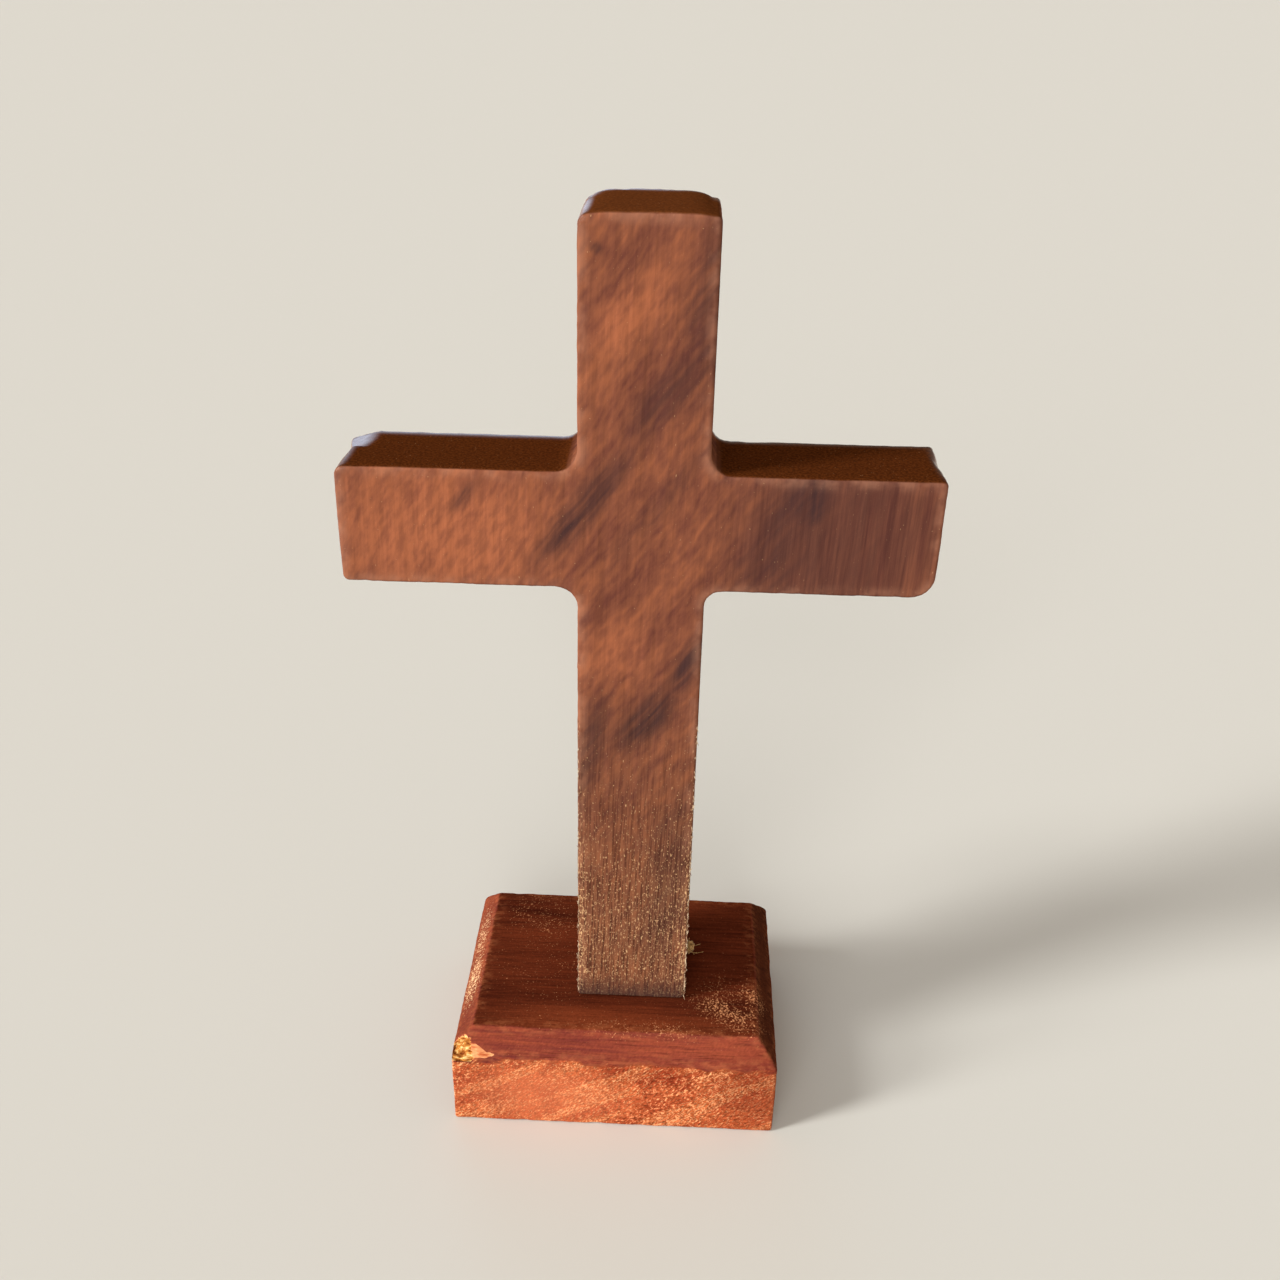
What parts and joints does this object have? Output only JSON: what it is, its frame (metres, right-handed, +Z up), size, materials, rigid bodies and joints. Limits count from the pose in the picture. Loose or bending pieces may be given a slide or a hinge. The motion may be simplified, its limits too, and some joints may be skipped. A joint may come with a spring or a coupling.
{
  "type": "altar cross",
  "caption": "Small standing altar cross: a Latin cross sawn from one figured hardwood board, upright on a chamfered block of the same wood.",
  "frame": {"origin": "on the table, halfway along the arms and halfway through the depth of the block", "axes": "+Z up the post, +X towards the cross's right arm seen from the front, +Y towards its back"},
  "size_m": [0.0776, 0.0376, 0.137],
  "materials": {
    "base_wood": "oiled red-brown hardwood, worn, dusty",
    "cross_wood": "oiled red-brown hardwood with dark figure, worn, dusty",
    "screw_steel": "zinc plated"
  },
  "bodies": {
    "root": {"base": "base_wood", "cross": "cross_wood", "screw": "screw_steel"}
  },
  "joints": []
}
